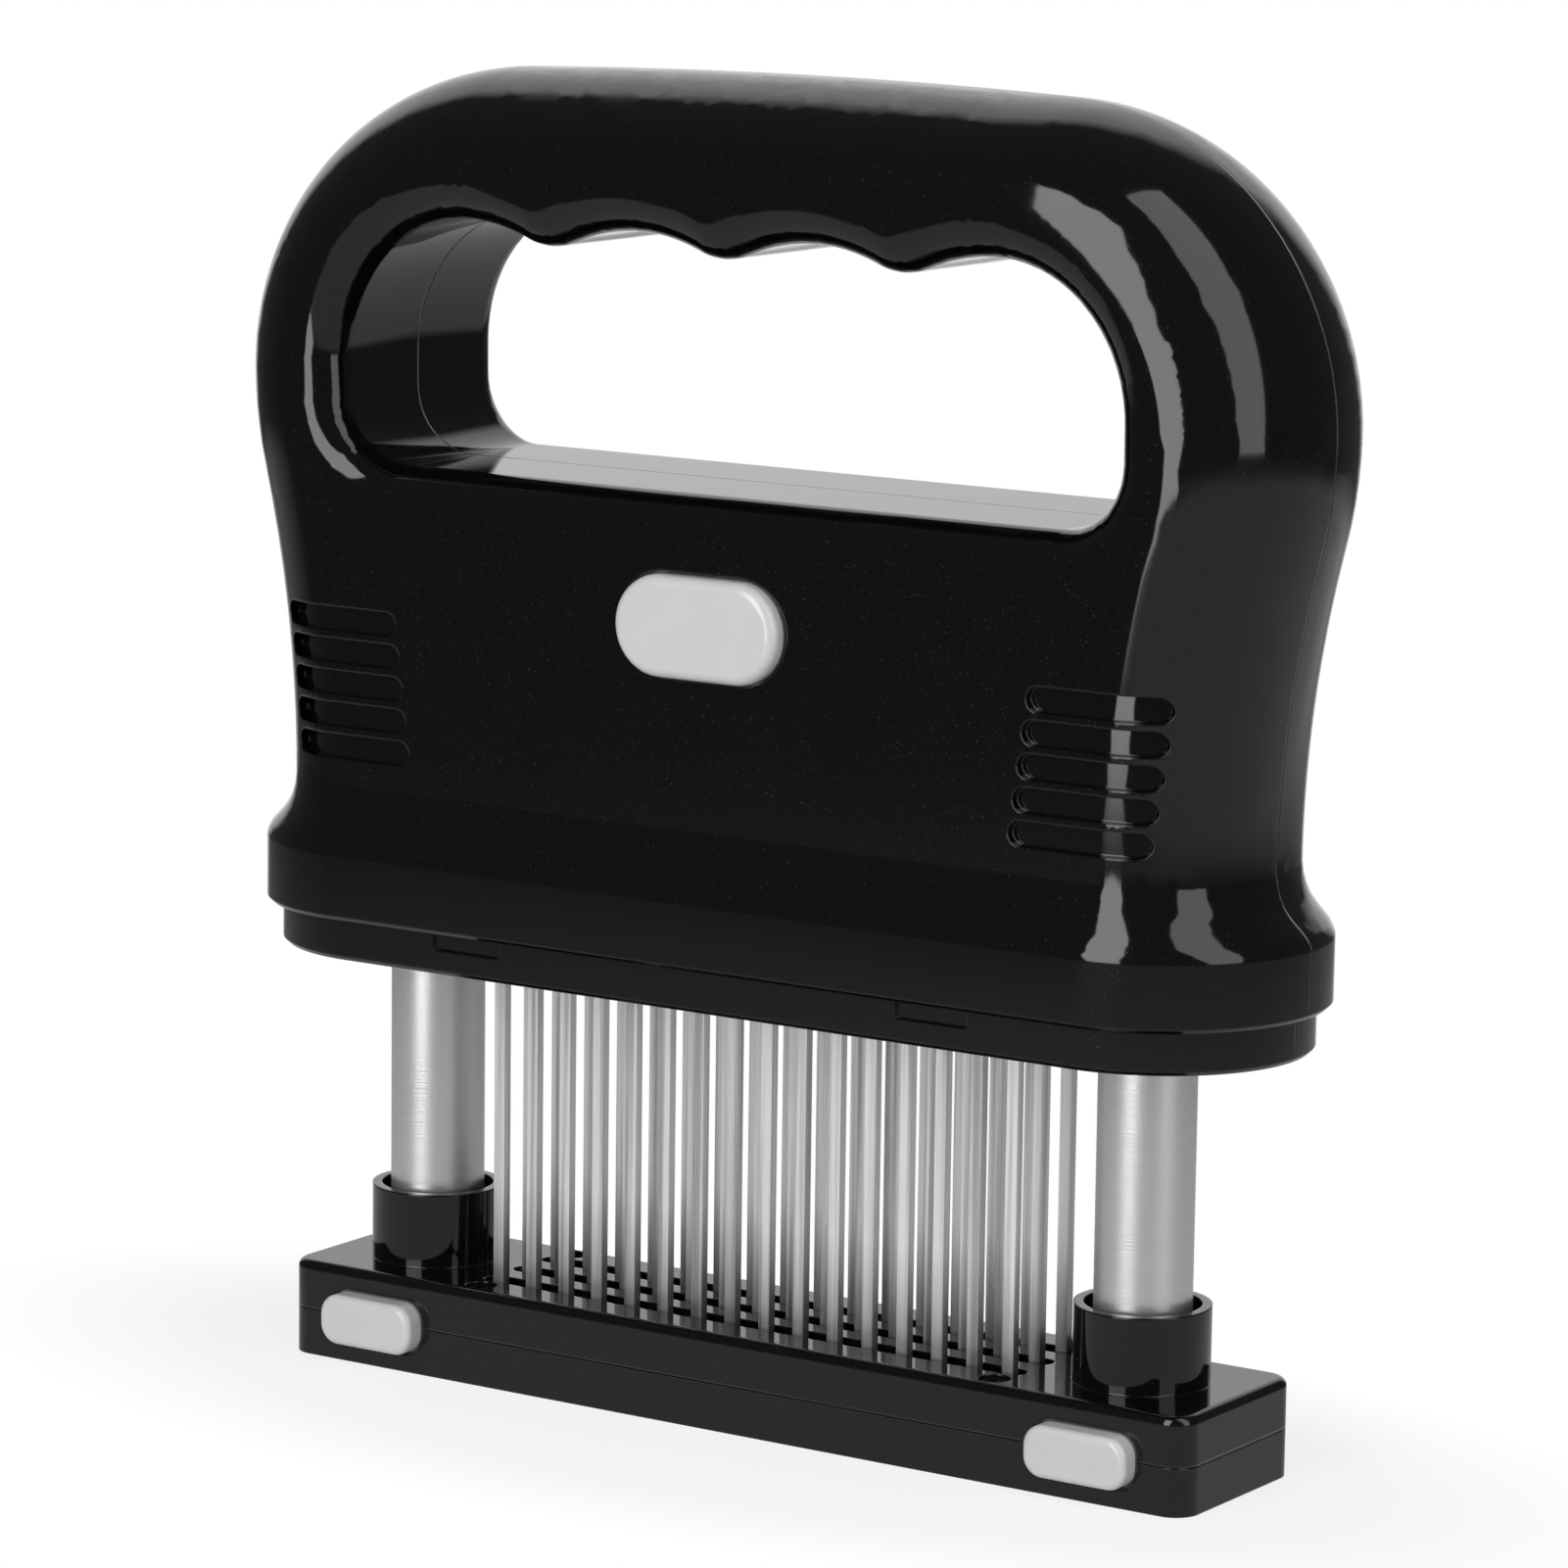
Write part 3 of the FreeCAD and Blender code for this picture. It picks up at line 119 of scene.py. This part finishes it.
class Nodes:
    """A node tree that is written with Python expressions."""

    def __init__(self, tree):
        self.tree = tree

    def node(self, kind, settings, sockets, output=0):
        """Adds a node: its settings first, then the values or links of its sockets."""
        node = self.tree.nodes.new(kind)
        for name, value in settings.items():
            setattr(node, name, value)
        pairs = sockets.items() if isinstance(sockets, dict) else enumerate(sockets)
        for key, value in pairs:
            if isinstance(value, Value):
                self.tree.links.new(value.output, node.inputs[key])
            else:
                node.inputs[key].default_value = value
        return Value(self, node.outputs[output])

    def math(self, operation, *values, clamp=False):
        return self.node("ShaderNodeMath", {"operation": operation, "use_clamp": clamp}, values)

    def place(self, source="Object"):
        return self.node("ShaderNodeTexCoord", {}, {}, source)

    def axis(self, number, source="Object"):
        return self.node("ShaderNodeSeparateXYZ", {}, {0: self.place(source)}, number)

    def noise(self, scale, stretch=(1.0, 1.0, 1.0), detail=3.0):
        spot = self.node("ShaderNodeMapping", {}, {"Vector": self.place(), "Scale": stretch})
        return self.node("ShaderNodeTexNoise", {}, {"Vector": spot, "Scale": scale,
                                                    "Detail": detail})


class Finish(Nodes):
    """One material: a Principled shader whose varying inputs come from nodes."""

    def __init__(self, name, **constants):
        self.material = bpy.data.materials.new(name)
        self.material.use_nodes = True
        super().__init__(self.material.node_tree)
        self.shader = self.tree.nodes["Principled BSDF"]
        for socket, value in constants.items():
            self.shader.inputs[socket.replace("_", " ")].default_value = value

    def feed(self, socket, value):
        self.tree.links.new(value.output, self.shader.inputs[socket])

    def shade(self, value, dark, light):
        """Base colour between two greys or colours."""
        self.feed("Base Color", self.node("ShaderNodeMix", {"data_type": "RGBA"},
                                          {0: value, 6: dark, 7: light}, 2))

    def bump(self, height, distance, edge=0.0):
        """Relief; with an edge radius the sharp edges also catch the light."""
        sockets = {"Height": height, "Distance": distance}
        if edge:
            sockets["Normal"] = self.node("ShaderNodeBevel", {"samples": 6}, {"Radius": edge})
        self.feed("Normal", self.node("ShaderNodeBump", {}, sockets))


FLOOR_SIZE = 8.0
FLOOR_CLEAR = 0.078
FLOOR_WHITE = 0.115
FLOOR_BASE_WHITE = 0.8
FLOOR_OVAL = (1.0, 2.2, 1.0)
FLOOR_GREY = (0.82, 0.82, 0.82, 1.0)
FLOOR_ROUGHNESS = 0.9
FLOOR_SHINE = 0.1
floor_finish = Finish("studio_floor", Base_Color=FLOOR_GREY, Roughness=FLOOR_ROUGHNESS,
                      Specular_IOR_Level=FLOOR_SHINE)
surface = Value(floor_finish, floor_finish.shader.outputs[0])
glow = floor_finish.node("ShaderNodeEmission", {}, {})
clear = floor_finish.node("ShaderNodeBsdfTransparent", {}, {})
oval = floor_finish.node("ShaderNodeVectorMath", {"operation": "MULTIPLY"},
                         {0: floor_finish.place(), 1: FLOOR_OVAL})
distance = floor_finish.node("ShaderNodeVectorMath", {"operation": "LENGTH"}, {0: oval}, 1)
seen = floor_finish.node("ShaderNodeLightPath", {}, {}, 0)
whitening = distance.ramp(FLOOR_CLEAR, FLOOR_WHITE) * (1.0 - FLOOR_BASE_WHITE) + FLOOR_BASE_WHITE
seen_floor = floor_finish.node("ShaderNodeMixShader", {},
                               {0: whitening * seen, 1: surface, 2: glow})
mirrored = floor_finish.node("ShaderNodeLightPath", {}, {}, 3)
whole_floor = floor_finish.node("ShaderNodeMixShader", {}, {0: mirrored, 1: seen_floor, 2: clear})
floor_finish.tree.links.new(whole_floor.output,
                            floor_finish.tree.nodes["Material Output"].inputs["Surface"])
bpy.ops.mesh.primitive_plane_add(size=FLOOR_SIZE, location=(0.0, 0.0, 0.0))
floor = bpy.context.object
floor.name = "studio_floor"
floor.data.materials.append(floor_finish.material)

BACKDROP_AZIMUTH = math.radians(-146.0)
BACKDROP_LIGHT = 0.85
BACKDROP_RISE = 0.35
BACKDROP_EDGE = (0.84, 0.93)
ROOM_LIGHT = 0.09
GROUND_LIGHT = 0.42
GROUND_EDGE = (0.17, 0.23)
world = bpy.data.worlds.new("studio_world")
bpy.context.scene.world = world
world.use_nodes = True
sky = Nodes(world.node_tree)
behind = (sky.axis(X, "Generated") * math.sin(BACKDROP_AZIMUTH)
          - sky.axis(Y, "Generated") * math.cos(BACKDROP_AZIMUTH)
          + sky.axis(Z, "Generated") * BACKDROP_RISE)
below = (sky.axis(Z, "Generated") * -1.0).ramp(*GROUND_EDGE)
room = behind.ramp(*BACKDROP_EDGE) * BACKDROP_LIGHT + below * GROUND_LIGHT + ROOM_LIGHT
camera_sees = sky.node("ShaderNodeLightPath", {}, {}, 0)
light = sky.node("ShaderNodeMix", {}, {0: camera_sees, 2: room, 3: 1.0})
sky.tree.links.new(light.output, sky.tree.nodes["Background"].inputs["Strength"])
sky.tree.nodes["Background"].inputs["Color"].default_value = WHITE

BOX_DISTANCE = 1.4
BOX_WIDTH = 0.70
LIT_POINT = Vector((0.0, 0.0, 0.09))
LEFT_BOX = {"azimuth": -6.0, "elevation": 21.0, "height": 1.7, "radiance": 4.6}
RIGHT_BOX = {"azimuth": 77.0, "elevation": 35.0, "height": 2.6, "radiance": 2.1}


def soft_box(name, azimuth, elevation, height, radiance):
    """A tall lamp that faces the object; azimuth is from the front towards +X."""
    turn_z = math.radians(azimuth)
    tilt = math.radians(elevation)
    aim = Vector((math.sin(turn_z) * math.cos(tilt), -math.cos(turn_z) * math.cos(tilt),
                  math.sin(tilt)))
    bpy.ops.object.light_add(type="AREA", location=LIT_POINT + aim * BOX_DISTANCE)
    lamp = bpy.context.object
    lamp.name = name
    lamp.data.shape = "RECTANGLE"
    lamp.data.size = BOX_WIDTH
    lamp.data.size_y = height
    lamp.data.energy = radiance * math.pi * BOX_WIDTH * height
    lamp.rotation_euler = aim.to_track_quat("Z", "Y").to_euler()


soft_box("box_left", **LEFT_BOX)
soft_box("box_right", **RIGHT_BOX)

# Guard base. Two black mouldings that meet at a parting line and are screwed together from
# above. Polished plastic, with the faint ripple of the mould and a little dust.
BODY_OF = {node: body for body, nodes in frame["record"]["behaviour"]["bodies"].items()
           for node in nodes}
SEAM_HALF_WIDTH = 0.00018
SEAM_DEPTH = 0.00012
BASE_SEAM_Z = 0.0056
EDGE_RADIUS = 0.0003
FLAT_COSINE = math.cos(math.radians(0.2))
MERGE_DISTANCE = 1e-6
CREASE_DEGREES = 38.0
BLACK = (0.0025, 0.0025, 0.0026, 1.0)
DUST_GREY = (0.02, 0.02, 0.02, 1.0)
RIPPLE_SCALE = 90.0
DUST_SCALE = 5200.0
DUST_EDGE = (0.79, 0.84)
RIPPLE_HEIGHT = 0.012
PLASTIC_IOR = 1.5
PLASTIC_ROUGHNESS = 0.055
RIPPLE_ROUGHNESS = 0.03
DUST_ROUGHNESS = 0.25


def settle_normals(mesh, crease_cosine):
    """Flat faces keep their own normal, and curved ones run into them without a step."""
    whole = list(range(len(mesh.polygons)))

    def head(face):
        while whole[face] != face:
            whole[face] = whole[whole[face]]
            face = whole[face]
        return face

    beside = {}
    normals = [face.normal.copy() for face in mesh.polygons]
    for face in mesh.polygons:
        for edge in face.edge_keys:
            other = beside.setdefault(edge, face.index)
            if normals[face.index].dot(normals[other]) > FLAT_COSINE:
                whole[head(face.index)] = head(other)
    area = {}
    for face in mesh.polygons:
        area[head(face.index)] = area.get(head(face.index), 0.0) + face.area
    around = {}
    for face in mesh.polygons:
        weight = area[head(face.index)] ** 2
        for vertex in face.vertices:
            around.setdefault(vertex, []).append((normals[face.index], weight))
    corners = []
    for face in mesh.polygons:
        own = normals[face.index]
        for vertex in face.vertices:
            total = Vector()
            for normal, weight in around[vertex]:
                if normal.dot(own) > crease_cosine:
                    total += normal * weight
            corners.append(total.normalized() if total.length > 0.0 else own)
    mesh.normals_split_custom_set(corners)


def smooth_copy(node, finish, crease=CREASE_DEGREES):
    """A merged copy of a CAD node, smooth except at its edges, stands in for it."""
    piece = bpy.data.objects.new(node + "_skin", frame["nodes"][node].data.copy())
    bpy.context.collection.objects.link(piece)
    bpy.ops.object.select_all(action="DESELECT")
    bpy.context.view_layer.objects.active = piece
    piece.select_set(True)
    bpy.ops.object.mode_set(mode="EDIT")
    bpy.ops.mesh.select_all(action="SELECT")
    bpy.ops.mesh.remove_doubles(threshold=MERGE_DISTANCE)
    bpy.ops.object.mode_set(mode="OBJECT")
    bpy.ops.object.shade_smooth_by_angle(angle=math.radians(crease))
    settle_normals(piece.data, math.cos(math.radians(crease)))
    piece.select_set(False)
    piece.data.materials.clear()
    piece.data.materials.append(finish.material)
    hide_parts(node)
    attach(piece, BODY_OF[node])
    return piece


def black_plastic(name, seam_axis, seam_at):
    """Polished black moulding with a fine parting groove across one axis."""
    finish = Finish(name, IOR=PLASTIC_IOR)
    ripple = finish.noise(RIPPLE_SCALE, detail=0.0)
    dust = finish.noise(DUST_SCALE, detail=0.0).ramp(*DUST_EDGE)
    rougher = ripple * RIPPLE_ROUGHNESS + dust * DUST_ROUGHNESS
    finish.feed("Roughness", rougher + PLASTIC_ROUGHNESS)
    finish.shade(dust, BLACK, DUST_GREY)
    groove = abs(finish.axis(seam_axis) - seam_at).ramp(0.0, SEAM_HALF_WIDTH)
    finish.bump(groove + ripple * RIPPLE_HEIGHT, SEAM_DEPTH, EDGE_RADIUS)
    return finish


base_black = black_plastic("base_black", Z, BASE_SEAM_Z)
for node in ("base_bottom", "base_top"):
    smooth_copy(node, base_black)

# Base screws. Four plated steel screws that hold the two mouldings together, one in each
# quarter of the base. Their heads have a cross recess and are sunk below its top.
MM = 0.001
BASE_SCREWS_MM = [(35.5, 9.4)]
CROSS_HALF_WIDTH = (0.00020, 0.00030)
CROSS_HALF_LENGTH = (0.00105, 0.00115)
CROSS_DEPTH = 0.0003
CROSS_PAINTED_SHADE = (0.05, 0.05, 0.05, 1.0)
CROSS_ROUGHNESS = 0.3
SCREW_BRIGHT = (0.85, 0.85, 0.86, 1.0)
SCREW_METALLIC = 0.6
SCREW_ROUGHNESS = 0.3
SCREW_GRAIN = 900.0
SCREW_GRAIN_ROUGHNESS = 0.1


def cross_recess(finish, first_axis, second_axis, places_mm):
    """Cross recesses at the given places: the share of the head that is cut away."""
    cut = 0.0
    for first, second in places_mm:
        u = abs(abs(finish.axis(first_axis)) - first * MM)
        v = abs(abs(finish.axis(second_axis)) - second * MM)
        arm = finish.math("MINIMUM", u, v).ramp(*CROSS_HALF_WIDTH)
        reach = finish.math("MAXIMUM", u, v).ramp(*CROSS_HALF_LENGTH)
        cut = (1.0 - arm) * (1.0 - reach) + cut
    return cut


def paint_node(node, finish):
    """Screws keep their CAD mesh and only get the material."""
    mesh = frame["nodes"][node].data
    mesh.materials.clear()
    mesh.materials.append(finish.material)


def screw_steel(name, first_axis, second_axis, places_mm):
    """Bright plated steel; the cross recess in every head is painted dark as painted shade."""
    finish = Finish(name, Metallic=SCREW_METALLIC)
    cross = cross_recess(finish, first_axis, second_axis, places_mm)
    # Painted shade: the cross recess is coloured dark in place of the shade inside it.
    finish.shade(cross, SCREW_BRIGHT, CROSS_PAINTED_SHADE)
    rougher = finish.noise(SCREW_GRAIN) * SCREW_GRAIN_ROUGHNESS + cross * CROSS_ROUGHNESS
    finish.feed("Roughness", rougher + SCREW_ROUGHNESS)
    finish.bump(1.0 - cross, CROSS_DEPTH)
    return finish


paint_node("base_screws", screw_steel("screw_steel", X, Y, BASE_SCREWS_MM))

# Post tubes. Drawn stainless tubes, brushed round; each stands on a turned foot and ends in
# a stop ring, and holds the spring that pushes the handle up.
POST_DARK = (0.70, 0.68, 0.685, 1.0)
POST_LIGHT = (0.88, 0.855, 0.86, 1.0)
POST_METALLIC = 0.88
POST_ANISOTROPY = 0.5
POST_ROUGHNESS = 0.25
BRUSHING_STRETCH = (60.0, 60.0, 9000.0)
BRUSHING_SHARE = 0.6
BRUSHING_ROUGHNESS = 0.12
BRUSHING_DEPTH = 0.000012
SMEAR_SCALE = 70.0
SMEAR_STRETCH = (1.0, 1.0, 0.4)
SMEAR_SHARE = 0.4
SMEAR_ROUGHNESS = 0.08
brushed_post = Finish("brushed_post", Metallic=POST_METALLIC, Anisotropic=POST_ANISOTROPY)
brushing = brushed_post.noise(1.0, BRUSHING_STRETCH, 2.0)
smear = brushed_post.noise(SMEAR_SCALE, SMEAR_STRETCH, 2.0)
brushed_post.shade(brushing * BRUSHING_SHARE + smear * SMEAR_SHARE, POST_DARK, POST_LIGHT)
rougher = brushing * BRUSHING_ROUGHNESS + smear * SMEAR_ROUGHNESS
brushed_post.feed("Roughness", rougher + POST_ROUGHNESS)
brushed_post.bump(brushing, BRUSHING_DEPTH)

PLATE_GREY = (0.55, 0.55, 0.56, 1.0)
PLATE_GRAIN = 400.0
PLATE_GRAIN_STRETCH = (1.0, 8.0, 1.0)
PLATE_ROUGHNESS = 0.25
SPRING_GREY = (0.5, 0.5, 0.51, 1.0)
SPRING_GRAIN = 900.0
SPRING_ROUGHNESS = 0.22
HIDDEN_GRAIN_ROUGHNESS = 0.2
plate_steel = Finish("plate_steel", Base_Color=PLATE_GREY, Metallic=1.0)
plate_grain = plate_steel.noise(PLATE_GRAIN, PLATE_GRAIN_STRETCH)
plate_steel.feed("Roughness", plate_grain * HIDDEN_GRAIN_ROUGHNESS + PLATE_ROUGHNESS)
spring_steel = Finish("spring_steel", Base_Color=SPRING_GREY, Metallic=1.0)
spring_grain = spring_steel.noise(SPRING_GRAIN)
spring_steel.feed("Roughness", spring_grain * HIDDEN_GRAIN_ROUGHNESS + SPRING_ROUGHNESS)


def coil(node):
    """A spring: a smooth copy of its CAD node with a mesh of its own."""
    piece = smooth_copy(node, spring_steel)
    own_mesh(piece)


for side in ("left", "right"):
    smooth_copy("post_tube_" + side, brushed_post)
    smooth_copy("post_foot_" + side, plate_steel)
    smooth_copy("post_stop_" + side, plate_steel)
    coil("main_spring_" + side)

# Base buttons. Light grey caps with soft edges at both ends of the base, each on a steel
# latch plate with a small spring behind it.
BUTTON_DARK = (0.59, 0.595, 0.60, 1.0)
BUTTON_LIGHT = (0.65, 0.655, 0.66, 1.0)
BUTTON_COAT = 0.5
BUTTON_COAT_ROUGHNESS = 0.08
BUTTON_ROUGHNESS = 0.3
MOTTLE_SCALE = 260.0
MOTTLE_ROUGHNESS = 0.08
BUTTON_GRAIN = 1500.0
BUTTON_GRAIN_DEPTH = 0.000008
button_grey = Finish("button_grey", Coat_Weight=BUTTON_COAT, Coat_Roughness=BUTTON_COAT_ROUGHNESS)
mottle = button_grey.noise(MOTTLE_SCALE, detail=2.0)
button_grey.shade(mottle, BUTTON_DARK, BUTTON_LIGHT)
button_grey.feed("Roughness", mottle * MOTTLE_ROUGHNESS + BUTTON_ROUGHNESS)
button_grey.bump(button_grey.noise(BUTTON_GRAIN), BUTTON_GRAIN_DEPTH)
for side in ("left", "right"):
    smooth_copy("base_button_" + side, button_grey)
    smooth_copy("latch_plate_" + side, plate_steel)
    coil("base_button_spring_" + side)

# Blade pack. Three rows of ground stainless blades, moulded into a black carrier and closed
# by a steel keeper plate; the grinding runs along the blades.
BLADE_CREASE_DEGREES = 20.0
BLADE_SHADE_FULL_Z = 0.012
BLADE_SHADE_END_Z = 0.024
BLADE_SHADED_TIP_LEVEL = 0.3
BLADE_DARK_AND_SHADED = (0.15, 0.15, 0.155, 1.0)
BLADE_METALLIC = 0.8
BLADE_ROUGHNESS = 0.22
BLADE_LEAST_SHINE = 0.3
GRINDING_STRETCH = (3500.0, 3500.0, 60.0)
GRINDING_SHARE = 0.5
GRINDING_ROUGHNESS = 0.15
GRINDING_DEPTH = 0.00001
STREAK_STRETCH = (900.0, 900.0, 9.0)
STREAK_EDGE = (0.38, 0.58)
STREAK_SHARE = 0.5
STREAK_ROUGHNESS = 0.1
blade_steel = Finish("blade_steel", Metallic=BLADE_METALLIC)
grinding = blade_steel.noise(1.0, GRINDING_STRETCH, 3.0)
streak = blade_steel.noise(1.0, STREAK_STRETCH, 1.0).ramp(*STREAK_EDGE)
# Painted reflection: the blades are painted darker towards their lower ends, standing in for the
# black base reflected there. The dark grey is both the grinding tone and this painted shade.
height = blade_steel.axis(Z).ramp(BLADE_SHADE_FULL_Z, BLADE_SHADE_END_Z)
painted_base_reflection = height * (1.0 - BLADE_SHADED_TIP_LEVEL) + BLADE_SHADED_TIP_LEVEL
shine = streak * STREAK_SHARE + grinding * GRINDING_SHARE + BLADE_LEAST_SHINE
blade_steel.shade(shine * painted_base_reflection, BLADE_DARK_AND_SHADED, WHITE)
rougher = grinding * GRINDING_ROUGHNESS + streak * STREAK_ROUGHNESS
blade_steel.feed("Roughness", rougher + BLADE_ROUGHNESS)
blade_steel.bump(grinding, GRINDING_DEPTH)
for row in ("front", "middle", "rear"):
    smooth_copy("blade_row_" + row, blade_steel, BLADE_CREASE_DEGREES)
PARTING_Y = 0.0
skirt_black = black_plastic("skirt_black", Y, PARTING_Y)
smooth_copy("blade_carrier", skirt_black)
smooth_copy("blade_keeper", plate_steel)

# Cartridge skirt and guide bushes. The skirt closes the handle from below in two halves that
# meet at both ends; the nylon bushes inside it run on the tubes.
BUSH_CREAM = (0.62, 0.61, 0.58, 1.0)
BUSH_GRAIN = 300.0
BUSH_GRAIN_ROUGHNESS = 0.15
BUSH_ROUGHNESS = 0.4
bush_nylon = Finish("bush_nylon", Base_Color=BUSH_CREAM)
bush_grain = bush_nylon.noise(BUSH_GRAIN)
bush_nylon.feed("Roughness", bush_grain * BUSH_GRAIN_ROUGHNESS + BUSH_ROUGHNESS)
for half in ("front", "rear"):
    smooth_copy("skirt_" + half, skirt_black)
for side in ("left", "right"):
    smooth_copy("guide_bush_" + side, bush_nylon)
    smooth_copy("spring_rod_" + side, plate_steel)

# Handle housing. Two polished black shells that meet at the parting line and are screwed
# together from the rear.
HOUSING_CREASE_DEGREES = 30.0
housing_black = black_plastic("housing_black", Y, PARTING_Y)
for half in ("front", "rear"):
    smooth_copy(half + "_shell", housing_black, HOUSING_CREASE_DEGREES)
SHELL_SCREWS_MM = [(30.0, 76.0), (34.0, 98.0), (61.45, 117.7)]
paint_node("shell_screws", screw_steel("shell_screw_steel", X, Z, SHELL_SCREWS_MM))

# Release button. A light grey glossy cap on the steel hook that holds the blade cartridge,
# with a small spring behind it.
smooth_copy("release_button", button_grey)
smooth_copy("release_hook", plate_steel)
coil("release_spring")
